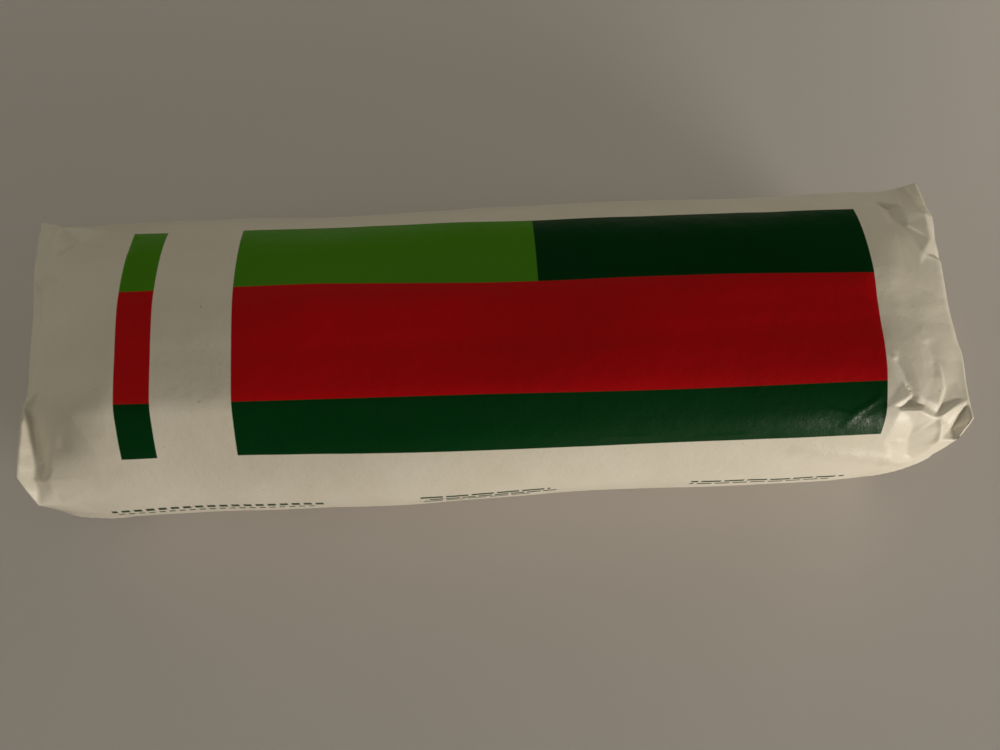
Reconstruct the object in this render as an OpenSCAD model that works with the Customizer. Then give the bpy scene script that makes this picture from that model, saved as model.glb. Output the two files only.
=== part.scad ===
// A soft goat cheese log, shut in its paper wrapper.
// X runs along the log, Z up. The origin is in the middle of the table side.
// Angles go round the log from +Y (the back) over the top to -Y (the front).

/* [Log] */
// Length between the two folded end faces
log_l = 137; // [110:1:165]
// Width at the widest line
log_w = 47; // [40:0.5:58]
// Height of the rounded top above the widest line
top_rise = 19.2; // [15:0.1:24]
// Height of the widest line above the table
widest_z = 18.3; // [14:0.1:23]
// Squareness of the lower half, where 2 is a plain ellipse
sag_power = 2.5; // [2:0.1:3.5]
// How much of the underside the table presses flat
base_press = 0.5; // [0.3:0.1:1.5]

/* [Hand-made unevenness] */
// Depth of the slow waves in the surface
wave_d = 0.35; // [0:0.05:0.5]
// Length of one slow wave along the log
wave_l = 61; // [40:1:90]

/* [Folded ends] */
// Width of each folded end face
end_w = 42; // [34:0.5:46]
// Height of the end face's top edge above the widest line
end_up = 11.6; // [8:0.1:14]
// Depth of the end face's lower edge below the widest line
end_down = 11.8; // [8:0.1:14]
// How far the end face's top and lower edges bow outwards
end_bow = 1.8; // [0:0.1:3]
// Length over which the round log turns into the flat-sided end
shoulder_l = 17; // [10:0.5:24]
// Fullness of that shoulder, where 1 is a straight slope
shoulder_power = 1.9; // [1:0.1:3]

/* [Corner ears] */
// How far the pinched paper corners stick out past the end face
ear_out = 1.8; // [0.5:0.1:3]
// How far a pinched corner reaches along the edges of the end face
ear_reach = 7; // [4:0.5:9]

/* [End flaps] */
// Thickness of one folded flap with the paper tucked under it
flap_t = 0.5; // [0.3:0.1:1]
// Slant of the flaps' side edges, away from upright
flap_slant = 34; // [20:1:38]
// Length of the upper flap, folded down first
upper_flap_l = 15; // [8:0.5:18]
// Length of the lower flap, folded up over it
lower_flap_l = 14.5; // [8:0.5:18]
// Gap between the flaps and the edges of the end face
flap_inset = 1.2; // [0.8:0.1:2]

/* [Long seam] */
// Angle of the wrapper's glued edge, on the underside towards the back
seam_angle = 302; // [295:1:318]
// Thickness of the overlap at that edge
seam_t = 0.5; // [0.3:0.1:0.8]
// Width of the overlap, as an angle
seam_wide = 14; // [8:1:20]

/* [Hidden] */

paper_white = [0.93, 0.91, 0.87];

half_w = log_w / 2;
half_end = end_w / 2;
belly = widest_z + base_press;
// Angle over which the seam's edge steps up
seam_ramp = 0.8;
// Steps along each side, top and underside of a ring
side_steps = 10;
flat_steps = 20;
// Rings along one shoulder, along the straight log, and on one end face
shoulder_rings = 9;
body_rings = 17;
face_scales = [0.94, 0.84, 0.5];
// How deep the flaps' plates are sunk into the end face
flap_root = 1.5;

up_corner = atan2(end_up, half_end);
down_corner = atan2(end_down, half_end);

function mix(from, to, part) = from + (to - from) * part;

// --- Cross-sections, each as [y, z] from the log's widest line ---

// Distance from the widest line's middle to the round log's skin
function top_reach(angle) = 1 / norm([cos(angle) / half_w, sin(angle) / top_rise]);
function belly_reach(angle) =
    pow(pow(abs(cos(angle)) / half_w, sag_power)
        + pow(abs(sin(angle)) / belly, sag_power), -1 / sag_power);

// 1 on the glued overlap of the seam, 0 off it
function on_seam(angle) = angle > seam_angle && angle < seam_angle + seam_wide ? 1 : 0;

// Slow waves, with their still line along the seam
wave_still = seam_angle + seam_wide / 2;
function wave(x, angle) =
    wave_d * sin(360 * x / wave_l + angle) * sin(2 * (angle - wave_still));

function round_section(x, angle) =
    let (reach = sin(angle) >= 0 ? top_reach(angle) : belly_reach(angle),
         skin = reach + wave(x, angle) + seam_t * on_seam(angle))
    [skin * cos(angle), skin * sin(angle)];

function end_section(angle) =
    let (rise = sin(angle) >= 0 ? end_up : end_down,
         to_side = half_end / max(abs(cos(angle)), 0.001),
         to_flat = rise / max(abs(sin(angle)), 0.001),
         reach = min(to_side, to_flat),
         y = reach * cos(angle),
         z = reach * sin(angle),
         bow = end_bow * (1 - pow(y / half_end, 2)) * z / rise)
    [y, z + bow];

// Distance along the end face's edge from its nearest corner
function from_corner(angle) =
    let (at = end_section(angle),
         rise = at[1] >= 0 ? end_up : end_down)
    norm([half_end - abs(at[0]), rise - min(abs(at[1]), rise)]);

function ear(angle) = ear_out * pow(max(0, 1 - from_corner(angle) / ear_reach), 2);

// --- Rings ---

// Angles from one corner of the end face to the next, spread half by angle and half by distance
function edge_angle(from, to, part) =
    let (start = end_section(from),
         stop = end_section(to),
         at = mix(start, stop, part),
         by_distance = atan2(at[1], at[0]),
         turned = by_distance < from - 1 ? by_distance + 360 : by_distance)
    (mix(from, to, part) + turned) / 2;

function edge_angles(from, to, steps) = [for (i = [0:steps - 1]) edge_angle(from, to, i / steps)];

seam_edges = [seam_angle, seam_angle + seam_ramp,
              seam_angle + seam_wide - seam_ramp, seam_angle + seam_wide];
function off_seam(angles) =
    [for (angle = angles) if (min([for (edge = seam_edges) abs(angle - edge)]) > seam_ramp) angle];

under_angles = off_seam(edge_angles(180 + down_corner, 360 - down_corner, flat_steps));
under_with_seam = concat(
    [for (angle = under_angles) if (angle < seam_edges[0]) angle],
    [seam_edges[0], seam_edges[1]],
    [for (angle = under_angles) if (angle > seam_edges[1] && angle < seam_edges[2]) angle],
    [seam_edges[2], seam_edges[3]],
    [for (angle = under_angles) if (angle > seam_edges[3]) angle]);

ring_angles = concat(
    edge_angles(-down_corner, up_corner, side_steps),
    edge_angles(up_corner, 180 - up_corner, flat_steps),
    edge_angles(180 - up_corner, 180 + down_corner, side_steps),
    under_with_seam);
ring_size = len(ring_angles);

// 1 at the end face, 0 where the round log begins
function squared(depth) = pow(max(0, 1 - depth / shoulder_l), shoulder_power);

function skin_point(x, angle) =
    let (side = x < 0 ? -1 : 1,
         depth = log_l / 2 - abs(x),
         at = mix(round_section(x, angle), end_section(angle), squared(depth)),
         stretch = 1 - min(1, depth / ear_reach))
    [x + side * ear(angle) * stretch, at[0], max(0, at[1] + widest_z)];

function face_point(side, angle, scale) =
    let (at = end_section(angle) * scale)
    [side * log_l / 2, at[0], at[1] + widest_z];

half_straight = log_l / 2 - shoulder_l;
shoulder_x = [for (i = [0:shoulder_rings - 1]) log_l / 2 - shoulder_l * i / shoulder_rings];
straight_x = [for (i = [0:body_rings]) mix(-half_straight, half_straight, i / body_rings)];
skin_x = concat(-shoulder_x, straight_x, [for (i = [shoulder_rings - 1:-1:0]) shoulder_x[i]]);
face_levels = len(face_scales);

rings = concat(
    [for (i = [face_levels - 1:-1:0]) [for (angle = ring_angles) face_point(-1, angle, face_scales[i])]],
    [for (x = skin_x) [for (angle = ring_angles) skin_point(x, angle)]],
    [for (scale = face_scales) [for (angle = ring_angles) face_point(1, angle, scale)]]);

// --- Closed surface: a tube of rings with a fan of triangles at each end ---

function corner(ring, step) = ring * ring_size + step % ring_size;
ring_count = len(rings);
left_middle = ring_count * ring_size;
right_middle = left_middle + 1;

tube_points = concat([for (ring = rings) each ring],
    [[-log_l / 2, 0, widest_z], [log_l / 2, 0, widest_z]]);
tube_faces = concat(
    [for (i = [0:ring_count - 2], k = [0:ring_size - 1])
        each [[corner(i, k), corner(i + 1, k), corner(i + 1, k + 1)],
              [corner(i, k), corner(i + 1, k + 1), corner(i, k + 1)]]],
    [for (k = [0:ring_size - 1]) [corner(0, k), corner(0, k + 1), left_middle]],
    [for (k = [0:ring_size - 1])
        [corner(ring_count - 1, k + 1), corner(ring_count - 1, k), right_middle]]);

// --- Folded flaps of one end face, in its own plane ---

// A flap hanging from the top edge; rise is that edge's height above the widest line
module flap_outline(rise, length) {
    root = half_end - flap_inset;
    tip = root - length * tan(flap_slant);
    polygon([[-root, rise - flap_inset], [root, rise - flap_inset],
             [tip, rise - flap_inset - length], [-tip, rise - flap_inset - length]]);
}

// Stands an outline up against the right end face, layers flap thicknesses proud
module on_end_face(layers) {
    translate([log_l / 2 - flap_root, 0, widest_z])
        rotate([90, 0, 90])
            linear_extrude(flap_root + layers * flap_t) children();
}

module end_flaps() {
    on_end_face(1) flap_outline(end_up, upper_flap_l);
    on_end_face(2) mirror([0, 1]) flap_outline(end_down, lower_flap_l);
}

module wrapped_log() {
    color(paper_white)
        union() {
            polyhedron(tube_points, tube_faces, convexity = 4);
            end_flaps();
            mirror([1, 0, 0]) end_flaps();
        }
}

wrapped_log();
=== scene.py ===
import math

import bpy
import numpy as np
from mathutils import Matrix, Vector
from mathutils.geometry import delaunay_2d_cdt


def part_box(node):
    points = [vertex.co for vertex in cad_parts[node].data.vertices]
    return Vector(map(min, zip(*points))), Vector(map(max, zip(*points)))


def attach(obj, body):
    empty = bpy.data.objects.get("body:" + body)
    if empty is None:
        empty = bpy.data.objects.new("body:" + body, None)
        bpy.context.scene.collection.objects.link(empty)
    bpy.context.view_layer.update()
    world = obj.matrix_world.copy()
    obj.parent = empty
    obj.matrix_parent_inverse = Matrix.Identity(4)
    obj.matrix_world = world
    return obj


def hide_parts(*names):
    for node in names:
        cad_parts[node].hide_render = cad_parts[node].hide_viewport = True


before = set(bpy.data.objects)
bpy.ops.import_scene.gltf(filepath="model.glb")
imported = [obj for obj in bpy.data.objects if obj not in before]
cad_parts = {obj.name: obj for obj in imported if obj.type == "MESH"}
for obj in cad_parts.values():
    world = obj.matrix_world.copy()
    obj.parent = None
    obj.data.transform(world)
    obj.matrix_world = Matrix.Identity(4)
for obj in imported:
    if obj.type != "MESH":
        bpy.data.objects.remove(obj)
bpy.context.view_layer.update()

_, node_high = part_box("wrapped_log")

MM = 0.001

# --- The log's own sizes, as in CAD and from the CAD node's box ---

EAR_OUT = 1.8 * MM
WAVE_D = 0.35 * MM
WAVE_L = 61 * MM
WIDEST_Z = 18.3 * MM
END_X = node_high.x - EAR_OUT
HALF_W = node_high.y - WAVE_D
TOP_RISE = node_high.z - WAVE_D - WIDEST_Z
BELLY = WIDEST_Z + 0.5 * MM
BELLY_POWER = 2.5
SEAM_ANGLE = 302.0
SEAM_WIDE = 14.0
# The glued overlap, thinner here than in CAD, and the angle over which its edges step up
SEAM_T = 0.3 * MM
SEAM_RAMP = 0.7
# Length of the shoulder between round log and folded end, over the top and at the widest line
TOP_SHOULDER, SIDE_SHOULDER = 15 * MM, 10 * MM
# Fullness of that shoulder, where 1 is a straight slope
SHOULDER_POWER = 1.8

# Corners of the mean end face as (y, z) from the widest line, in millimetres:
# back upper, front upper, front lower, back lower
MEAN_END = [(21.0, 11.6), (-21.0, 11.6), (-21.0, -11.8), (21.0, -11.8)]

# The paper's fold round each end face: (place, out, y, z) in millimetres. Place counts the mean end
# face's edges: 0 is the back upper corner, 1 the front upper one. Out is how far past END_X it lies.
LEFT_FOLD = [
    (0.00, -0.6, 20.1, 11.2), (0.08, -0.6, 17.0, 11.2), (0.13, -0.3, 15.0, 11.3),
    (0.25, 0.0, 10.2, 12.0), (0.29, -1.2, 8.7, 12.0), (0.40, -1.3, 4.3, 12.2),
    (0.53, -0.7, -0.5, 12.2), (0.70, -0.2, -7.0, 12.2), (0.75, 0.1, -8.9, 12.2),
    (0.94, 0.4, -16.8, 12.4), (1.00, 0.5, -19.0, 12.3), (1.08, -0.4, -20.7, 11.0),
    (1.20, -1.2, -22.5, 8.7), (1.50, -0.6, -21.9, 0.0),
    (2.00, 0.4, -20.8, -11.4), (2.50, -0.5, 0.0, -13.4), (3.00, 0.6, 20.8, -11.6),
    (3.50, -0.6, 21.3, 0.0)]
RIGHT_FOLD = [
    (0.00, -0.5, 20.9, 11.2), (0.10, 0.4, 16.8, 11.5), (0.15, 0.9, 15.0, 12.2),
    (0.30, 1.1, 9.2, 12.5), (0.41, 0.5, 4.6, 13.1), (0.53, 0.5, -0.2, 13.5),
    (0.70, 0.8, -7.4, 13.5), (0.85, 0.7, -14.2, 13.3), (0.95, 1.0, -17.9, 12.7),
    (1.10, -0.6, -20.5, 10.4), (1.50, -0.6, -21.4, 0.0), (2.00, 0.6, -20.8, -11.4),
    (2.50, -0.5, 0.0, -13.4), (3.00, 0.4, 20.8, -11.6), (3.50, -0.6, 21.3, 0.0)]
# How deep the fold's waviness runs into the log
FOLD_REACH = 7 * MM

# Where lying and handling pressed the round top flatter: place round the paper from the crest towards
# the front, and the height added there near the left end and near the right one, in millimetres
PRESSED_AT = [-19, -9, -4, 0, 4, 7.5, 11, 14, 17, 20, 24, 29]
PRESSED_LEFT = [-0.6, -0.2, 0, -0.25, -0.35, 0.05, 0.65, 0.1, -0.2, -0.4, -0.2, 0]
PRESSED_RIGHT = [0, 0, -0.1, -0.45, -0.3, 0.45, 1.2, 1.7, 2.0, 1.4, 0.5, 0]
# Where the left end's form starts to pass into the right end's, and over what length
PRESSED_FROM, PRESSED_SPAN = -45, 100
# Shifts round the paper over which both lists are averaged, so that they have no corners
PRESSED_SHIFTS = [-1.0, -0.5, 0, 0.5, 1.0]

# Crumpled corners. Each line joins points of (x along the log, s round it from the crest, lift straight
# up) in millimetres, and flat facets lie between the lines. The first line is the outer rim.
FRONT_LEFT = [
    [(-68.5, 10, 0), (-65.8, 8.5, 0), (-61, 11, 0), (-58, 17, 0), (-58, 24, 0), (-63, 30, 0),
     (-68.5, 31, 0)],
    [(-68.5, 12.0, 0.9), (-67.8, 13.4, -0.5), (-67.4, 14.9, -0.8), (-67.0, 17.9, -1.2), (-66.7, 20.4, -1.4),
     (-67.0, 23.2, -1.1), (-68.5, 26.5, 0)],
    [(-68.5, 12.0, 0.9), (-68.5, 14.4, 1.9), (-68.5, 17.9, 1.7), (-68.5, 20, 1.3),
     (-68.5, 21.9, 0.8), (-68.5, 24.3, 0.4), (-68.5, 26.5, 0)],
    [(-66.6, 14.6, -0.8), (-65.9, 17.5, -1.3), (-65.6, 20, -1.4), (-66.3, 23.4, -0.8)],
    [(-64.2, 16.5, -0.7), (-64.4, 20.3, -0.7), (-65.2, 24.2, -0.2)]]
BACK_LEFT = [
    [(-68.5, -9, 0), (-66, -10, 0), (-58, -12, 0), (-52.5, -14, 0), (-52, -18, 0), (-57, -26, 0),
     (-68.5, -27, 0)],
    [(-65.4, -15, -0.2), (-62.1, -18.2, -0.8), (-58.1, -16.4, -0.7), (-54.8, -15, -0.3)],
    [(-62, -21.5, 0.5), (-57, -20.5, 0.4)],
    [(-68.5, -21.5, 0.7), (-66.9, -21.8, 0.6), (-65.2, -21.5, 0)],
    [(-66.6, -19.3, 0.1), (-65.3, -19.3, 0.6), (-64.9, -16.4, 0.3)],
    [(-63.9, -20.2, -0.5), (-63.2, -16.6, -0.5)]]
BACK_RIGHT = [
    [(68.5, -5, 0), (64, -6, 0), (60.5, -13, 0), (60, -19, 0), (62.5, -26, 0), (68.5, -27, 0)],
    [(63.5, -18, 0.6), (63.5, -13.6, 0.3)],
    [(62.2, -17.6, -0.8), (61.9, -14.9, -0.7), (63.0, -13.2, -0.3)],
    [(65.0, -21.8, 0.1), (66.2, -21.9, 0.5), (68.5, -22.3, 0.4)],
    [(64.3, -18.3, 0.4), (66.5, -18.6, 0.7), (68.5, -18.8, 0.3)],
    [(67.0, -16, 0.5), (66.6, -11.5, 0.6), (64.9, -8.4, 0.3)],
    [(68.5, -15.8, -0.3), (68.5, -12.5, -0.6), (68.5, -8.6, -0.6), (65.2, -8.3, 0.2)],
    [(68.5, -7.9, 0.1), (65.2, -7.6, 0)]]
FRONT_RIGHT = [
    [(68.5, 12, 0), (64, 11, 0), (57.5, 12.5, 0), (54.5, 16, 0), (56, 21.5, 0), (59.5, 27, 0), (64, 31, 0),
     (68.5, 31, 0)],
    [(57.1, 16.5, 0.3), (59.8, 16.9, 0.65), (62.7, 18.8, 0.8), (63.5, 18.9, 0.9), (68.2, 17.4, 0.65)],
    [(63.5, 18.9, 0.9), (65.0, 23.6, 0.8), (64.5, 25.8, 0.3)],
    [(68.2, 17.4, 0.65), (65.6, 20.3, -0.8), (65.0, 23.6, 0.9)],
    [(68.2, 17.4, 0.65), (66.9, 20.2, -1.3), (66.7, 21.6, -1.3), (68.3, 23.7, -0.5)],
    [(68.5, 18.2, 0.7), (68.5, 20.0, 1.0), (68.5, 21.8, 1.3), (68.5, 24.0, -0.1)],
    [(58.8, 17.6, -0.15), (60.1, 19.2, -1.1), (60.3, 21.0, -1.65), (61.5, 25.1, -1.7), (63.3, 28.3, -0.2)],
    [(56.1, 15.8, 0.25), (58.6, 14.7, 0.55), (59.1, 14.6, -0.8), (57.4, 16.1, -0.25)],
    [(59.1, 14.6, -0.8), (59.6, 16.1, -0.8), (61.0, 16.3, -0.3)],
    [(59.9, 14.9, 0.15), (60.9, 15.6, 0.15)],
    [(62.9, 18.0, 0.2), (63.7, 18.1, 0.1)],
    [(63.0, 16.9, 0.6), (64.1, 14.9, 0.35)],
    [(63.9, 17.1, -0.3), (64.9, 15.0, -0.25)],
    [(66.7, 14.6, 0.3), (67.4, 17.0, 0.5)]]

# Points of a corner that lie closer together than this are one, in millimetres, and a facet whose
# doubled area is smaller than this is left out, in square millimetres
SAME_POINT = 0.01
SLIVER = 1e-6
# The facets are averaged over the corners and middle of a little square of this half-width, so that no
# fold is a razor's edge
SOFT = 0.09
SOFT_SPOTS = [(-SOFT, -SOFT), (SOFT, -SOFT), (SOFT, SOFT), (-SOFT, SOFT), (0, 0)]

# Soft creases: a line of (x, s), how high it stands, and its half-width, in millimetres
CREASES = [
    ([(42, 22.6), (53.6, 24.8), (56.9, 25.5), (60.8, 27.8), (63.5, 30.0)], 0.6, 2.2),
    ([(67.8, 17.6), (65.6, 20.3), (65.0, 23.8)], 0.28, 0.55),
    ([(63.5, 18.9), (64.3, 21.3), (65.0, 23.8)], 0.3, 0.6),
    ([(56.6, 8.8), (58.0, 12.0), (59.0, 14.6)], -0.35, 1.6),
    ([(62.6, 7.5), (63.2, 10.5), (62.6, 13.0)], -0.22, 2.2),
    ([(56.2, 9.3), (57.2, 9.2)], 0.25, 0.6),
    ([(54.8, 14.2), (50.7, 16.6), (49.2, 19.0)], 0.16, 0.8),
    ([(46.0, 15.4), (52.5, 17.6)], 0.10, 0.7),
    ([(13.5, 18.8), (23.0, 19.1)], 0.08, 0.8),
    ([(28.5, 19.7), (38.0, 19.0)], 0.09, 0.8),
    ([(-66.4, 11.6), (-65.2, 9.2), (-64.3, 6.5)], 0.22, 1.0),
    ([(-65.2, 19.3), (-66.3, 19.3)], 0.12, 0.5),
    ([(-62.0, 14.0), (-62.8, 17.5)], -0.2, 1.6),
    ([(-64.5, 25.0), (-58.0, 27.5), (-50.0, 28.5)], 0.2, 2.2),
    ([(-66.5, -12.0), (-64.9, -10.6), (-64.4, -8.0)], -0.25, 1.2),
    ([(-68.0, 33.5), (-58.0, 38.0)], 0.25, 1.8),
    ([(68.0, 33.5), (59.0, 39.0)], 0.25, 1.8),
    ([(-68.0, -33.5), (-57.0, -38.5)], 0.25, 1.8),
    ([(68.0, -33.5), (58.0, -39.5)], 0.25, 1.8)]
# Powers of a crease's fade towards its ends, and of its slope to each side
CREASE_FADE, CREASE_SLOPE = 0.6, 1.6

# The short creases gathered at each end: how many, where the outermost lie, how far in they reach and
# how closely they crowd the end; the ranges are in millimetres and radians
GATHERED = 90
GATHERED_OUT, GATHERED_DEEP, GATHERED_CROWD = 68, 15, 1.6
GATHERED_TURN = 0.9
GATHERED_LENGTH = (1.5, 6.0)
GATHERED_HEIGHT = (0.04, 0.16)
GATHERED_WIDTH = (0.8, 1.9)
# On the top, this near the crest, they are fainter
TOP_HALF, TOP_FAINT = 19, 0.3

# Soft bumps as (height, size, seed) in millimetres: all over the log, and added near its ends
BODY_BUMPS = [(0.10, 11, 11), (0.05, 5, 12)]
END_BUMPS = [(0.18, 8, 13), (0.06, 3, 14)]
# Distances over which the end bumps fade out from the end, the pressed top fades in, and all relief
# fades in from the paper's cut at the seam, in millimetres
END_BUMPS_FADE = (2, 20)
PRESSED_FADE = (0, 9)
CUT_FADE = (0, 3)

# The rounded edge where the paper turns down over an end face: its drop and width, the middle of its
# run between the corners, and how far from there it fades out, in millimetres
EDGE_DROP, EDGE_WIDE = 0.45, 1.4
EDGE_MIDDLE, EDGE_FADE = -2, (10, 14)

# The noise's grid, and a start far enough in for all places on the log to be on it
NOISE_GRID = 256
NOISE_START = (90.37, 90.71)


def mix(low, high, part):
    return low + (high - low) * part


def ramp(value, low, high):
    """0 at low and before, 1 at high and beyond, smooth between; low may be the larger."""
    part = np.clip((value - low) / (high - low), 0, 1)
    return part * part * (3 - 2 * part)


def noise(x, s, size, seed):
    """Smooth bumps between -1 and 1 on the flat paper, each about size across."""
    grid = np.random.default_rng(seed).uniform(-1, 1, (NOISE_GRID, NOISE_GRID))
    u, v = x / size + NOISE_START[0], s / size + NOISE_START[1]
    i, j = np.floor(u).astype(int), np.floor(v).astype(int)
    u, v = u - i, v - j
    u, v = u * u * (3 - 2 * u), v * v * (3 - 2 * v)
    i, j = i % (NOISE_GRID - 1), j % (NOISE_GRID - 1)
    return mix(mix(grid[i, j], grid[i + 1, j], u), mix(grid[i, j + 1], grid[i + 1, j + 1], u), v)


def bumps(x, s, layers):
    """Layers of noise, each as (height, size, seed)."""
    return sum(height * noise(x, s, size, seed) for height, size, seed in layers)


# --- Rings of the wrapper ---

SIDE_STEPS = 40
TOP_STEPS = 190
UNDER_STEPS = 44
# Rings get closer towards the ends: (length of the stretch, gap between its rings)
FINE_STRETCH, FINE_GAP = 16 * MM, 0.25 * MM
NEXT_STRETCH, NEXT_GAP = 15 * MM, 0.6 * MM
MIDDLE_GAP = 1.4 * MM


def ring_columns():
    """For each column of the wrapper's grid: its edge, its place along that edge, and its angle."""
    edges, parts, angles = [], [], []
    for edge, steps in enumerate((TOP_STEPS, SIDE_STEPS, UNDER_STEPS, SIDE_STEPS)):
        part = np.arange(steps) / steps
        start, stop = np.array(MEAN_END[edge]), np.array(MEAN_END[(edge + 1) % 4])
        at = start + (stop - start) * part[:, None]
        by_place = np.degrees(np.arctan2(at[:, 1], at[:, 0])) % 360
        first = np.degrees(np.arctan2(start[1], start[0])) % 360
        last = np.degrees(np.arctan2(stop[1], stop[0])) % 360
        last += 360 * (last < first)
        by_place += 360 * (by_place < first - 1)
        edges.append(np.full(steps, edge))
        parts.append(part)
        angles.append((by_place + mix(first, last, part)) / 2)
    return np.concatenate(edges), np.concatenate(parts), np.concatenate(angles)


def end_ring(fold, places):
    """Out, y and z of each column on the paper's fold round an end face, in metres."""
    closed = np.array(fold + [(4.0, *fold[0][1:])])
    return np.stack([np.interp(places, closed[:, 0], closed[:, i]) for i in (1, 2, 3)], 1) * MM


def reach(angle):
    """Distance from the widest line's middle to the round log's skin."""
    c, s = np.cos(np.radians(angle)), np.sin(np.radians(angle))
    top = 1 / np.hypot(c / HALF_W, s / TOP_RISE)
    belly = ((abs(c) / HALF_W) ** BELLY_POWER + (abs(s) / BELLY) ** BELLY_POWER) ** (-1 / BELLY_POWER)
    return np.where(s >= 0, top, belly)


column_edges, column_parts, column_angles = ring_columns()
columns = len(column_angles)


def places_round():
    """Each column's place round the flat paper, and the paper's whole girth.

    The place is 0 on the crest and grows towards the front, and the paper is cut open at the glued seam.
    """
    turn = np.radians(column_angles)
    section = reach(column_angles)[:, None] * np.stack([np.cos(turn), np.sin(turn)], 1)
    steps = np.linalg.norm(np.roll(section, -1, 0) - section, axis=1)
    whole = steps.sum()
    passed = np.concatenate([[0], np.cumsum(steps)[:-1]])
    place = passed - np.interp(90.0, column_angles, passed)
    return np.where(column_angles > SEAM_ANGLE, place - whole, place), whole


round_place, full_girth = places_round()
paper_middle = (round_place.min() + round_place.max()) / 2


def ring_places():
    """Where the rings stand along the log."""
    fine = np.arange(0, FINE_STRETCH, FINE_GAP)
    further = np.arange(FINE_STRETCH, FINE_STRETCH + NEXT_STRETCH, NEXT_GAP)
    inwards = np.concatenate([fine, further])
    half = END_X - FINE_STRETCH - NEXT_STRETCH
    middle = np.linspace(-half, half, int(2 * half / MIDDLE_GAP))
    return np.concatenate([-END_X + inwards, middle, END_X - inwards[::-1]])


rings_x = ring_places()
left_ring = end_ring(LEFT_FOLD, column_edges + column_parts)
right_ring = end_ring(RIGHT_FOLD, column_edges + column_parts)


def base_skin():
    """The wrapper's smooth form, as an array of rings by columns by xyz."""
    x = rings_x[:, None]
    angle = column_angles[None]
    c, s = np.cos(np.radians(angle)), np.sin(np.radians(angle))
    still = SEAM_ANGLE + SEAM_WIDE / 2
    wave = WAVE_D * np.sin(2 * np.pi * x / WAVE_L + np.radians(angle))
    wave = wave * np.sin(np.radians(2 * (angle - still)))
    seam_stop = SEAM_ANGLE + SEAM_WIDE
    seam = ramp(angle, SEAM_ANGLE, SEAM_ANGLE + SEAM_RAMP) - ramp(angle, seam_stop - SEAM_RAMP, seam_stop)
    skin = reach(angle) + wave + SEAM_T * seam
    body = np.stack([skin * c, skin * s], 2)
    depth = END_X - abs(x)
    shoulder = mix(TOP_SHOULDER, SIDE_SHOULDER, c ** 2)
    squared = np.clip(1 - depth / shoulder, 0, 1) ** SHOULDER_POWER
    ends = np.where(x[:, :, None] < 0, left_ring[None], right_ring[None])
    at = mix(body, ends[:, :, 1:], squared[:, :, None])
    out = ends[:, :, 0] * np.clip(1 - depth / FOLD_REACH, 0, 1)
    return np.stack([x + np.sign(x) * out, at[:, :, 0], at[:, :, 1] + WIDEST_Z], 2)


def grid_normals(points):
    """Outward normals of a grid of rings by columns."""
    along = np.gradient(points, axis=0)
    round_log = np.roll(points, -1, 1) - np.roll(points, 1, 1)
    normal = np.cross(round_log, along)
    return normal / np.maximum(np.linalg.norm(normal, axis=2, keepdims=True), 1e-12)


def facets(lines):
    """The flat triangles between a corner's lines, each as three points of (x, s, height)."""
    spots = [spot for line in lines for spot in line]
    folds, first = [], 0
    for line in lines:
        folds += [(first + i, first + i + 1) for i in range(len(line) - 1)]
        first += len(line)
    flat = [Vector(spot[:2]) for spot in spots]
    points, _, triangles, origins, _, _ = delaunay_2d_cdt(flat, folds, [], 0, SAME_POINT)
    heights = [np.mean([spots[k][2] for k in origin]) if origin else 0.0 for origin in origins]
    corners = [(*point, height) for point, height in zip(points, heights)]
    return [[corners[k] for k in triangle] for triangle in triangles]


def facet_height(x, s, triangles):
    """How far a crumpled corner's facets lift the paper, in millimetres."""
    height = np.zeros(x.shape)
    for (ax, ay, az), (bx, by, bz), (cx, cy, cz) in triangles:
        area = (bx - ax) * (cy - ay) - (cx - ax) * (by - ay)
        if abs(area) < SLIVER:
            continue
        u = ((x - ax) * (cy - ay) - (cx - ax) * (s - ay)) / area
        v = ((bx - ax) * (s - ay) - (x - ax) * (by - ay)) / area
        inside = (u >= 0) & (v >= 0) & (u + v <= 1)
        height = np.where(inside, az + u * (bz - az) + v * (cz - az), height)
    return height


def crease_height(x, s, line, height, width):
    """A soft ridge (or valley, where height is negative) along a line, fading at both ends."""
    total = sum(math.dist(a, b) for a, b in zip(line, line[1:]))
    near, along, passed = np.full(x.shape, 1e9), np.zeros(x.shape), 0.0
    for (ax, ay), (bx, by) in zip(line, line[1:]):
        length = math.dist((ax, ay), (bx, by))
        t = np.clip(((x - ax) * (bx - ax) + (s - ay) * (by - ay)) / length ** 2, 0, 1)
        away = np.hypot(x - mix(ax, bx, t), s - mix(ay, by, t))
        along = np.where(away < near, (passed + t * length) / total, along)
        near = np.minimum(near, away)
        passed += length
    fade = np.clip(4 * along * (1 - along), 0, 1) ** CREASE_FADE
    return height * fade * np.clip(1 - near / width, 0, 1) ** CREASE_SLOPE


def small_creases():
    """Short creases where the paper was gathered at both ends, all the way round."""
    random = np.random.default_rng(5)
    girth_mm = full_girth / MM
    gathered = []
    for side in (-1, 1):
        for _ in range(GATHERED):
            x = side * (GATHERED_OUT - random.uniform(0, 1) ** GATHERED_CROWD * GATHERED_DEEP)
            s = random.uniform(-0.5, 0.5) * girth_mm + paper_middle / MM
            turn = random.uniform(-GATHERED_TURN, GATHERED_TURN)
            half = random.uniform(*GATHERED_LENGTH) / 2
            dx, ds = half * math.cos(turn), half * math.sin(turn)
            faint = TOP_FAINT if abs(s) < TOP_HALF else 1
            height = random.choice([-1, 1]) * random.uniform(*GATHERED_HEIGHT) * faint
            width = random.uniform(*GATHERED_WIDTH)
            gathered.append(([(x - dx, s - ds), (x + dx, s + ds)], height, width))
    return gathered


corner_facets = [facets(lines) for lines in (FRONT_LEFT, BACK_LEFT, BACK_RIGHT, FRONT_RIGHT)]
all_creases = CREASES + small_creases()


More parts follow.
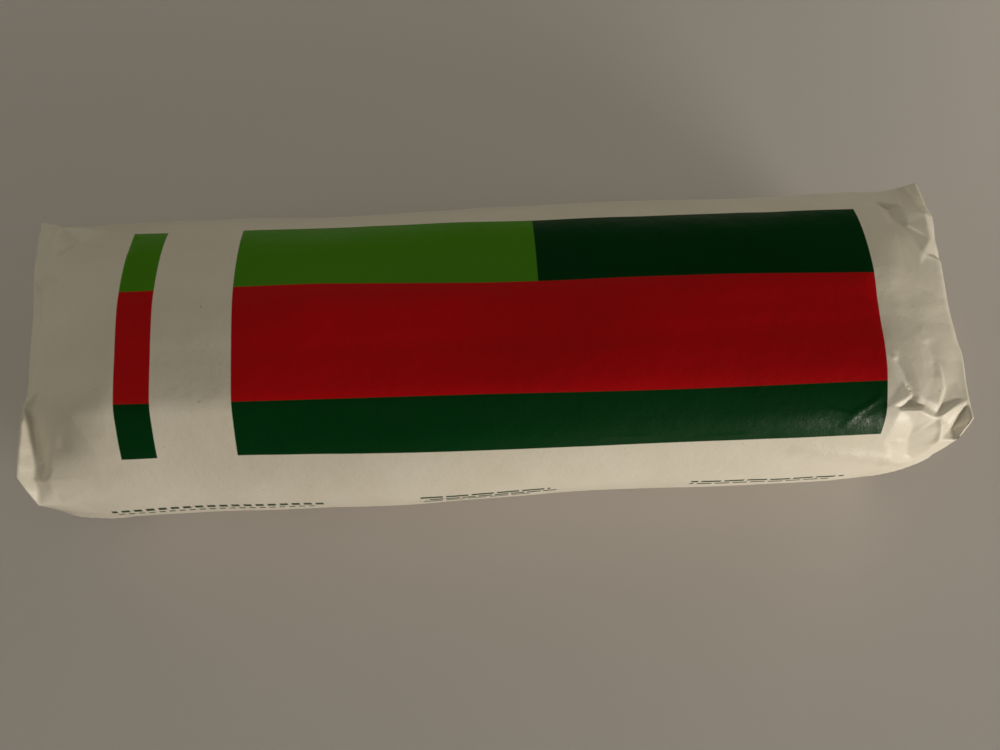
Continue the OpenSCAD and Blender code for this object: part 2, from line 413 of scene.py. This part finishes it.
def crumple(x, s):
    """How far the crumpled corners' facets lift the paper straight up; all in millimetres."""
    height = np.zeros(x.shape)
    for dx, ds in SOFT_SPOTS:
        for triangles in corner_facets:
            height += facet_height(x + dx, s + ds, triangles) / len(SOFT_SPOTS)
    return height


def creases(x, s):
    """How far the soft creases stand out of the smooth skin; all in millimetres."""
    height = np.zeros(x.shape)
    for line, stands, width in all_creases:
        spots = np.array(line)
        box = (x > spots[:, 0].min() - width) & (x < spots[:, 0].max() + width)
        box &= (s > spots[:, 1].min() - width) & (s < spots[:, 1].max() + width)
        height[box] += crease_height(x[box], s[box], line, stands, width)
    return height


def pressed(x, s):
    """Height that the flattened top adds, in millimetres."""
    towards_right = np.clip((x - PRESSED_FROM) / PRESSED_SPAN, 0, 1)
    total = 0
    for shift in PRESSED_SHIFTS:
        left = np.interp(s + shift, PRESSED_AT, PRESSED_LEFT)
        right = np.interp(s + shift, PRESSED_AT, PRESSED_RIGHT)
        total = total + mix(left, right, towards_right) / len(PRESSED_SHIFTS)
    return total


def grid_places():
    """Each grid point's place along the log and round the flat paper."""
    shape = (len(rings_x), columns)
    return np.broadcast_to(rings_x[:, None], shape), np.broadcast_to(round_place[None], shape)


def wrapper_points():
    """The wrapper's skin with all its relief, as rings by columns by xyz."""
    points = base_skin()
    normals = grid_normals(points)
    x, s = grid_places()
    x, s = x / MM, s / MM
    depth = END_X / MM - abs(x)
    near_end = 1 - ramp(depth, *END_BUMPS_FADE)
    off_cut = ramp(np.minimum(abs(s - s.min()), abs(s - s.max())), *CUT_FADE)
    relief = bumps(x, s, BODY_BUMPS) + near_end * bumps(x, s, END_BUMPS)
    height = (relief + creases(x, s)) * off_cut + pressed(x, s) * ramp(depth, *PRESSED_FADE)
    between_corners = 1 - ramp(abs(s - EDGE_MIDDLE), *EDGE_FADE)
    height -= EDGE_DROP * between_corners * np.clip(1 - depth / EDGE_WIDE, 0, 1) ** 2
    points = points + normals * (height * MM)[:, :, None]
    points[:, :, 2] += crumple(x, s) * MM
    points[:, :, 2] = np.maximum(points[:, :, 2], 0)
    return points


# --- The print's place, and meshes ---

# The print is turned a little on the log. Its own axes run along (p) and round (q) the flat paper, from
# this place on the crest
PRINT_X = -8.2 * MM
PRINT_TURN = math.radians(1.22)
# Towards the right end the paper runs a longer way, over the flattened edge: how much longer, and the
# stretches along and round the paper over which that grows
LONGER_BY = 1.25 * MM
LONGER_ALONG = (10 * MM, 62 * MM)
LONGER_ROUND = (9 * MM, 17 * MM)


def print_place(x, s):
    """Place in the print's own axes, in millimetres."""
    s = s + LONGER_BY * ramp(x, *LONGER_ALONG) * ramp(s, *LONGER_ROUND)
    x = x - PRINT_X
    p = x * math.cos(PRINT_TURN) + s * math.sin(PRINT_TURN)
    q = -x * math.sin(PRINT_TURN) + s * math.cos(PRINT_TURN)
    return p / MM, q / MM


# Rings of the end faces, as shares of the fold round them
FACE_SCALES = [0.985, 0.965, 0.94, 0.91, 0.87, 0.82, 0.76, 0.69, 0.61, 0.52, 0.42, 0.31, 0.2, 0.1]
# Inside this share of the fold the face is flat, and sunk by this much
FACE_FLAT = 0.9
FACE_SUNK = 0.35 * MM
# Slanting creases of the two tucked-in sides, in millimetres: their height, half-width and power of slope,
# how far from the middle they meet, and how near it they come
TUCK_HEIGHT, TUCK_WIDE, TUCK_SLOPE = 0.35, 1.6, 1.5
TUCK_MEET, TUCK_NEAREST = 10, 9
# Dents of the end faces as (height, size, seed) in millimetres, and shifts that give each end its own
FACE_DENTS, FACE_RIPPLES = [(0.22, 5, 31)], [(0.08, 2, 32)]
DENTS_SHIFT, RIPPLES_SHIFT = 40, 30
# A place outside all printed fields
NO_PRINT = 500.0


def make_mesh(name, vertices, faces, places=None, bare=()):
    """A smooth mesh. places gives each point's place in the print, and bare faces carry no print."""
    mesh = bpy.data.meshes.new(name)
    mesh.from_pydata(np.asarray(vertices).tolist(), [], faces)
    if places is not None:
        layer = mesh.uv_layers.new(name="wrap")
        loops = np.zeros(len(mesh.loops), dtype=np.int64)
        mesh.loops.foreach_get("vertex_index", loops)
        spots = places[loops]
        face_of_loop = np.repeat(np.arange(len(faces)), [len(face) for face in faces])
        spots[np.isin(face_of_loop, list(bare))] = NO_PRINT
        layer.uv.foreach_set("vector", spots.astype(np.float32).ravel())
    mesh.polygons.foreach_set("use_smooth", [True] * len(mesh.polygons))
    mesh.update()
    piece = bpy.data.objects.new(name, mesh)
    bpy.context.collection.objects.link(piece)
    return piece


def face_rings(side, fold):
    """The end face inside its fold: a little sunk, with the two tucked-in sides creased aslant."""
    middle = np.array([side * END_X, 0, WIDEST_Z])
    rings = []
    for scale in FACE_SCALES:
        ring = middle + (fold - middle) * scale
        inwards = ramp(scale, 1, FACE_FLAT)
        y, z = ring[:, 1] / MM, (ring[:, 2] - WIDEST_Z) / MM
        off_crease = abs(abs(y) - TUCK_MEET) - abs(z)
        tuck = TUCK_HEIGHT * np.clip(1 - abs(off_crease) / TUCK_WIDE, 0, 1) ** TUCK_SLOPE
        tuck = tuck * (abs(y) > TUCK_NEAREST)
        dents = bumps(y + DENTS_SHIFT * side, z, FACE_DENTS)
        dents = dents + bumps(y, z + RIPPLES_SHIFT * side, FACE_RIPPLES)
        flat = side * (END_X - FACE_SUNK + (tuck + dents) * MM)
        ring[:, 0] = mix(fold[:, 0], flat, inwards)
        rings.append(ring)
    return rings


def wrapper_faces(count, at_end):
    """Faces of count rings with a fan at each end, and the numbers of those that carry no print.

    at_end is how many rings at either end lie on the end face.
    """
    left_middle, right_middle = count * columns, count * columns + 1
    cut = int(np.argmax(np.diff(round_place) < 0))
    faces, bare = [], set()
    for i in range(count - 1):
        here, there = i * columns, (i + 1) * columns
        on_face = i < at_end or i >= count - at_end - 1
        for k in range(columns):
            n = (k + 1) % columns
            if on_face or k == cut:
                bare.add(len(faces))
            faces.append((here + k, here + n, there + n, there + k))
    last = (count - 1) * columns
    for k in range(columns):
        n = (k + 1) % columns
        bare.update((len(faces), len(faces) + 1))
        faces.append((n, k, left_middle))
        faces.append((last + k, last + n, right_middle))
    return faces, bare


def make_wrapper():
    """The wrapper, and the rings of its skin, from whose ends the flaps hang."""
    skin = wrapper_points()
    left = face_rings(-1, skin[0])
    right = face_rings(1, skin[-1])
    rings = left[::-1] + list(skin) + right
    middles = np.array([[-END_X + FACE_SUNK, 0, WIDEST_Z], [END_X - FACE_SUNK, 0, WIDEST_Z]])
    vertices = np.concatenate(rings + [middles])
    faces, bare = wrapper_faces(len(rings), len(left))
    p, q = print_place(*grid_places())
    places = np.full((len(vertices), 2), NO_PRINT)
    first = len(left) * columns
    places[first:first + p.size] = np.stack([p.ravel(), q.ravel()], 1)
    return make_mesh("wrapper", vertices, faces, places, bare), skin


# --- Folded flaps of the end faces ---

FLAP_ALONG, FLAP_DOWN = 72, 36
FLAP_SLANT = math.tan(math.radians(34))
FLAP_THICK = 0.25 * MM
# The stretch of the fold's edge, as shares of it, that a flap hangs from
FLAP_SPREAD = (0.02, 0.98)
# Mean height of an end face's upper and lower edges above and below the widest line
FACE_EDGE = 11.7 * MM
# Each flap: name, the fold's edge that it hangs from, its length and how proud it lies
TOP_EDGE, LOW_EDGE = 0, 2
UPPER_FLAP = ("upper", TOP_EDGE, 15 * MM, 0.1 * MM)
LOWER_FLAP = ("lower", LOW_EDGE, 14.5 * MM, 0.5 * MM)
# The flap's tip isn't quite straight: the height of its wave, and the wave's length as an angle
TIP_WAVE, TIP_TURN = 0.25 * MM, 9
# Dents of the flaps as (height, size, seed) in millimetres, and shifts that give each flap its own
FLAP_BOW, FLAP_RIPPLES = [(0.25, 7, 41)], [(0.10, 2.6, 42)]
BOW_SHIFT, FLAP_RIPPLES_SHIFT, EDGE_SHIFT = 70, 50, 20
# Shares of the flap's length over which it leaves the fold's edge, and its dents start and fade
FLAP_LEAVES = (0, 0.09)
DENTS_START, DENTS_STOP = (0, 0.2), (-0.3, 0.25)


def flap_front(side, fold, edge, length, proud):
    """A flap's outer face, in rows from a crease along one edge of the fold to its narrower tip."""
    root = fold[column_edges == edge]
    root = root[np.argsort(root[:, 1])]
    spread = np.linspace(*FLAP_SPREAD, FLAP_ALONG)
    at = np.interp(spread, np.linspace(0, 1, len(root)), np.arange(len(root)))
    crease = np.stack([np.interp(at, np.arange(len(root)), root[:, i]) for i in range(3)], 1)
    upwards = -1 if edge == TOP_EDGE else 1
    tip = WIDEST_Z - upwards * FACE_EDGE + upwards * length + TIP_WAVE * np.sin(TIP_TURN * spread + side)
    rows = []
    for t in np.linspace(0, 1, FLAP_DOWN):
        row = crease.copy()
        row[:, 1] *= 1 - t * length * FLAP_SLANT / abs(crease[0, 1])
        row[:, 2] = mix(crease[:, 2], tip, t)
        y, z = row[:, 1] / MM, row[:, 2] / MM
        dents = bumps(y + BOW_SHIFT * side, z + EDGE_SHIFT * edge, FLAP_BOW)
        dents = dents + bumps(y, z + FLAP_RIPPLES_SHIFT * side, FLAP_RIPPLES)
        dents = dents * ramp(t, *DENTS_START) * ramp(1 - t, *DENTS_STOP)
        flat = side * (END_X + proud + FLAP_THICK + dents * MM)
        row[:, 0] = mix(crease[:, 0], flat, ramp(t, *FLAP_LEAVES))
        rows.append(row)
    return np.array(rows)


def sheet_faces():
    """Faces of a flap's closed sheet: its front, its back and the strip round its rim."""
    half = FLAP_ALONG * FLAP_DOWN
    faces = []
    for i in range(FLAP_DOWN - 1):
        for k in range(FLAP_ALONG - 1):
            a = i * FLAP_ALONG + k
            quad = (a, a + 1, a + 1 + FLAP_ALONG, a + FLAP_ALONG)
            faces.append(quad)
            faces.append(tuple(half + corner for corner in quad[::-1]))
    rim = list(range(FLAP_ALONG))
    rim += [i * FLAP_ALONG + FLAP_ALONG - 1 for i in range(1, FLAP_DOWN)]
    rim += [(FLAP_DOWN - 1) * FLAP_ALONG + k for k in range(FLAP_ALONG - 2, -1, -1)]
    rim += [i * FLAP_ALONG for i in range(FLAP_DOWN - 2, 0, -1)]
    for a, b in zip(rim, rim[1:] + rim[:1]):
        faces.append((b, a, half + a, half + b))
    return faces


def make_flap(side, fold, name, edge, length, proud):
    """A flap folded over an end face: a thin closed sheet without print."""
    front = flap_front(side, fold, edge, length, proud)
    back = front - np.array([side * FLAP_THICK, 0, 0])
    vertices = np.concatenate([front.reshape(-1, 3), back.reshape(-1, 3)])
    faces = sheet_faces()
    if (edge == TOP_EDGE) == (side < 0):
        faces = [face[::-1] for face in faces]
    side_name = "left" if side < 0 else "right"
    places = np.full((len(vertices), 2), NO_PRINT)
    return make_mesh(f"{side_name}_{name}_flap", vertices, faces, places)


# --- Materials ---

PAPER = (0.83, 0.775, 0.685)
# Where the paper lies wet on the cheese, and the small specks in it
DAMP_PAPER = (0.775, 0.715, 0.61)
SPECK = (0.35, 0.30, 0.22)
LIGHT_GREEN = (0.074, 0.275, 0.006)
DARK_GREEN = (0.001, 0.045, 0.008)
RED = (0.57, 0.002, 0.005)
# What the ink is blended with where it lies thicker, and by how much
THICK_INK = (0.0, 0.0, 0.0)
THICK_PART = 0.10
# Patches in each metre: damp clouds, cockles, specks and fibres
CLOUD_SCALE, COCKLE_SCALE, SPECK_SCALE, FIBRE_SCALE = 90.0, 420.0, 900.0, 2600.0
# The cloud noise's middle, and how softly damp paper and thick ink pass over there
CLOUD_MIDDLE, DAMP_SOFT, THICK_SOFT = 0.5, 0.22, 0.25
# Noise above this level is a speck, with this softness and strength
SPECK_LEVEL, SPECK_SOFT, SPECK_PART = 0.80, 0.02, 0.5
# The paper's waxy gloss, and how much smoother the ink is
SPECULAR, ROUGH_LOW, ROUGH_HIGH, INK_SMOOTHER = 0.28, 0.34, 0.46, 0.10
# How much higher than a fibre a cockle stands, and the relief's strength and depth
COCKLE_PART, BUMP_STRENGTH, BUMP_DEPTH = 3.0, 0.5, 0.06 * MM

# Edges of the printed fields in the print's own axes, in millimetres: along the log, then round it
STRIP = (-45.8, -40.85)
LABEL = (-29.6, 63.8)
GREENS_MEET = 14.1
LABEL_TOP, RED_TOP, RED_LOW, LABEL_LOW = -18.2, -5.2, 11.4, 19.95
# Half the width over which a field's edge passes over
EDGE_SOFT = 0.06

# Rows of small dark dashes low on the front, in the same axes and millimetres: start and end along the
# log, place round it, length of a dash, gap and height
DASHES = [
    (-50, -18, 31.8, 1.2, 0.6, 1.1),
    (-50, -20, 33.7, 0.9, 0.6, 0.8),
    (-4, 16, 30.8, 3.4, 0.5, 0.7),
    (-3, 17.5, 32.0, 2.1, 0.4, 0.7),
    (-4, 13, 33.2, 2.9, 0.5, 0.7),
    (38, 62, 31.0, 3.1, 0.5, 0.7),
    (38, 60, 32.3, 2.3, 0.5, 0.7)]


class Nodes:
    """Short calls for building a node tree."""

    def __init__(self, material):
        material.use_nodes = True
        self.tree = material.node_tree
        self.tree.nodes.clear()

    def add(self, kind, **inputs):
        node = self.tree.nodes.new(kind)
        for name, value in inputs.items():
            self.put(node, name.replace("_", " "), value)
        return node

    def put(self, node, name, value):
        socket = node.inputs[int(name)] if name.isdigit() else node.inputs[name]
        if isinstance(value, bpy.types.NodeSocket):
            self.tree.links.new(value, socket)
        else:
            socket.default_value = value

    def math(self, operation, *values):
        node = self.tree.nodes.new("ShaderNodeMath")
        node.operation = operation
        for i, value in enumerate(values):
            self.put(node, str(i), value)
        return node.outputs[0]

    def edge(self, value, at, soft=EDGE_SOFT):
        """0 below at, 1 above it."""
        node = self.add("ShaderNodeMapRange", Value=value)
        node.inputs["From Min"].default_value = at - soft
        node.inputs["From Max"].default_value = at + soft
        return node.outputs[0]

    def between(self, value, low, high):
        """1 from low to high, 0 outside."""
        return self.math("SUBTRACT", self.edge(value, low), self.edge(value, high))

    def blend(self, part, under, over):
        """The colour under where part is 0, and over where it is 1."""
        node = self.tree.nodes.new("ShaderNodeMix")
        node.data_type = "RGBA"
        self.put(node, "0", part)
        for socket, value in ((node.inputs[6], under), (node.inputs[7], over)):
            if isinstance(value, bpy.types.NodeSocket):
                self.tree.links.new(value, socket)
            else:
                socket.default_value = (*value, 1)
        return node.outputs[2]

    def noise(self, vector, scale, detail=3.0, roughness=0.5):
        node = self.add("ShaderNodeTexNoise", Vector=vector, Scale=scale, Detail=detail, Roughness=roughness)
        return node.outputs["Fac"]


def printed_fields(n, p, q):
    """1 where the strip, the label or a dash is printed."""
    along = n.math("ADD", n.between(p, *STRIP), n.between(p, *LABEL))
    field = n.math("MULTIPLY", n.between(q, LABEL_TOP, LABEL_LOW), along)
    for start, stop, row, dash, gap, tall in DASHES:
        part = n.math("FRACT", n.math("DIVIDE", p, dash + gap))
        solid = n.math("LESS_THAN", part, dash / (dash + gap))
        band = n.math("MULTIPLY", n.between(q, row, row + tall), n.between(p, start, stop))
        field = n.math("MAXIMUM", field, n.math("MULTIPLY", band, solid))
    return field


def ink_colour(n, p, q, clouds):
    """Light green beside dark green, then red, then dark green, and a little thicker in places."""
    upper = n.blend(n.edge(p, GREENS_MEET), LIGHT_GREEN, DARK_GREEN)
    ink = n.blend(n.edge(q, RED_TOP), upper, RED)
    ink = n.blend(n.edge(q, RED_LOW), ink, DARK_GREEN)
    thick = n.math("MULTIPLY", n.edge(clouds, CLOUD_MIDDLE, THICK_SOFT), THICK_PART)
    return n.blend(thick, ink, THICK_INK)


def bare_colour(n, where, clouds):
    """Off-white paper with damp clouds and fine specks."""
    paper = n.blend(n.edge(clouds, CLOUD_MIDDLE, DAMP_SOFT), DAMP_PAPER, PAPER)
    specks = n.edge(n.noise(where, SPECK_SCALE, detail=1.0), SPECK_LEVEL, SPECK_SOFT)
    return n.blend(n.math("MULTIPLY", specks, SPECK_PART), paper, SPECK)


def paper_roughness(n, clouds, field):
    """Roughness that varies with the clouds and is lower on ink."""
    roughness = n.add("ShaderNodeMapRange", Value=clouds)
    roughness.inputs["To Min"].default_value = ROUGH_LOW
    roughness.inputs["To Max"].default_value = ROUGH_HIGH
    return n.math("SUBTRACT", roughness.outputs[0], n.math("MULTIPLY", field, INK_SMOOTHER))


def paper_relief(n, where):
    """The relief of fibres and slight cockling."""
    fibres = n.noise(where, FIBRE_SCALE, detail=4.0, roughness=0.65)
    cockles = n.math("MULTIPLY", n.noise(where, COCKLE_SCALE), COCKLE_PART)
    bump = n.add("ShaderNodeBump", Height=n.math("ADD", fibres, cockles))
    bump.inputs["Strength"].default_value = BUMP_STRENGTH
    bump.inputs["Distance"].default_value = BUMP_DEPTH
    return bump.outputs[0]


def paper_material():
    """The printed paper of the wrapper and its flaps."""
    material = bpy.data.materials.new("printed_paper")
    n = Nodes(material)
    where = n.add("ShaderNodeTexCoord").outputs["Object"]
    uv = n.add("ShaderNodeUVMap")
    uv.uv_map = "wrap"
    axes = n.add("ShaderNodeSeparateXYZ", Vector=uv.outputs[0])
    p, q = axes.outputs[0], axes.outputs[1]
    clouds = n.noise(where, CLOUD_SCALE, detail=4.0, roughness=0.6)
    field = printed_fields(n, p, q)
    colour = n.blend(field, bare_colour(n, where, clouds), ink_colour(n, p, q, clouds))
    shader = n.add("ShaderNodeBsdfPrincipled", Base_Color=colour)
    shader.inputs["Specular IOR Level"].default_value = SPECULAR
    n.put(shader, "Roughness", paper_roughness(n, clouds, field))
    n.put(shader, "Normal", paper_relief(n, where))
    n.put(n.add("ShaderNodeOutputMaterial"), "Surface", shader.outputs[0])
    return material


FLOOR_COLOUR = (0.68, 0.64, 0.64, 1)
FLOOR_ROUGHNESS = 0.75


def floor_material():
    material = bpy.data.materials.new("pale_floor")
    n = Nodes(material)
    shader = n.add("ShaderNodeBsdfPrincipled", Base_Color=FLOOR_COLOUR, Roughness=FLOOR_ROUGHNESS)
    n.put(n.add("ShaderNodeOutputMaterial"), "Surface", shader.outputs[0])
    return material


# --- Stage, light and camera ---

FLOOR_HALF = 4.0


def make_floor():
    """A wide plain table top at the log's underside."""
    corners = [(x * FLOOR_HALF, y * FLOOR_HALF, 0) for x, y in ((-1, -1), (1, -1), (1, 1), (-1, 1))]
    floor = make_mesh("floor", corners, [(0, 1, 2, 3)])
    floor.data.materials.append(floor_material())
    return floor


# Lamps round the log: (name, degrees from +X towards the front, degrees above the table, distance,
# (width, height), watts), with lengths in metres. All face the log's middle. The key lamp stands low and
# near and lights the log alone, and table_key, which is higher, does the key lamp's work on the table.
LAMPS = [
    ("key", 45, 6.2, 0.40, (0.12, 0.07), 1.08),
    ("table_key", 45, 18, 0.6, (0.25, 0.25), 0.95),
    ("front_right", 30, 45, 0.6, (0.3, 0.3), 0.113),
    ("left", 180, 40, 0.6, (0.5, 0.5), 0.465),
    ("back", 270, 40, 0.6, (0.5, 0.5), 0.19),
    ("right", 335, 20, 0.24, (0.12, 0.10), 0.052)]
LOG_MIDDLE = Vector((0, 0, 0.02))
# Tint of both key lamps, and a warmer one of the other lamps and the room
KEY_TINT = (1.0, 0.935, 0.81)
ROOM_TINT = (1.0, 0.94, 0.76)
ROOM_LIGHT = 0.11


def make_lamp(name, turn, rise, distance, size, watts):
    """An area lamp that faces the log."""
    data = bpy.data.lights.new(name, "AREA")
    data.shape = "RECTANGLE"
    data.size, data.size_y = size
    data.energy = watts
    data.color = KEY_TINT if "key" in name else ROOM_TINT
    lamp = bpy.data.objects.new(name, data)
    turn, rise = math.radians(turn), math.radians(rise)
    level = distance * math.cos(rise)
    lamp.location = (level * math.cos(turn), -level * math.sin(turn), distance * math.sin(rise))
    towards_log = LOG_MIDDLE - lamp.location
    lamp.rotation_euler = towards_log.to_track_quat("-Z", "Y").to_euler()
    bpy.context.collection.objects.link(lamp)
    return lamp


def lights_only(lamp, pieces):
    """Makes a lamp shine on these pieces and on nothing else."""
    group = bpy.data.collections.new(f"lit_by_{lamp.name}")
    for piece in pieces:
        group.objects.link(piece)
    lamp.light_linking.receiver_collection = group


def make_lights(pieces, floor):
    """All lamps and the soft room. Only the key lamp shows as gloss."""
    lamps = {lamp[0]: make_lamp(*lamp) for lamp in LAMPS}
    lights_only(lamps["key"], pieces)
    lights_only(lamps["table_key"], [floor])
    for name, lamp in lamps.items():
        lamp.visible_glossy = name == "key"
    world = bpy.data.worlds.new("soft_room")
    world.use_nodes = True
    background = world.node_tree.nodes["Background"]
    background.inputs["Color"].default_value = (*ROOM_TINT, 1)
    background.inputs["Strength"].default_value = ROOM_LIGHT
    world.cycles_visibility.glossy = False
    bpy.context.scene.world = world
    bpy.context.scene.view_settings.view_transform = "Standard"


# The camera's place, its turn to the left, how far it looks down and how far it is tipped
CAMERA_AT = Vector((-8.2, -44.8, 174.4)) * MM
CAMERA_TURN, CAMERA_DOWN, CAMERA_ROLL = (math.radians(v) for v in (-12.313, 75.107, 9.105))
CAMERA_LENS, SENSOR = 36.34, 36.0
CAMERA_CLIP = (0.01, 5.0)


def make_camera():
    """The camera, which looks steeply down at the log from the front."""
    data = bpy.data.cameras.new("camera")
    data.lens, data.sensor_width = CAMERA_LENS, SENSOR
    data.clip_start, data.clip_end = CAMERA_CLIP
    camera = bpy.data.objects.new("camera", data)
    down = math.cos(CAMERA_DOWN)
    forward = Vector((-math.sin(CAMERA_TURN) * down, math.cos(CAMERA_TURN) * down, -math.sin(CAMERA_DOWN)))
    level = Vector((math.cos(CAMERA_TURN), math.sin(CAMERA_TURN), 0))
    upright = level.cross(forward)
    right = level * math.cos(CAMERA_ROLL) + upright * math.sin(CAMERA_ROLL)
    up = -level * math.sin(CAMERA_ROLL) + upright * math.cos(CAMERA_ROLL)
    turn = Matrix((right, up, -forward)).transposed()
    camera.matrix_world = Matrix.Translation(CAMERA_AT) @ turn.to_4x4()
    bpy.context.collection.objects.link(camera)
    bpy.context.scene.camera = camera


wrapper, skin = make_wrapper()
pieces = [wrapper]
for side, fold in ((-1, skin[0]), (1, skin[-1])):
    for flap in (UPPER_FLAP, LOWER_FLAP):
        pieces.append(make_flap(side, fold, *flap))
paper = paper_material()
for piece in pieces:
    piece.data.materials.append(paper)
    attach(piece, "root")
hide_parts("wrapped_log")

make_lights(pieces, make_floor())
make_camera()
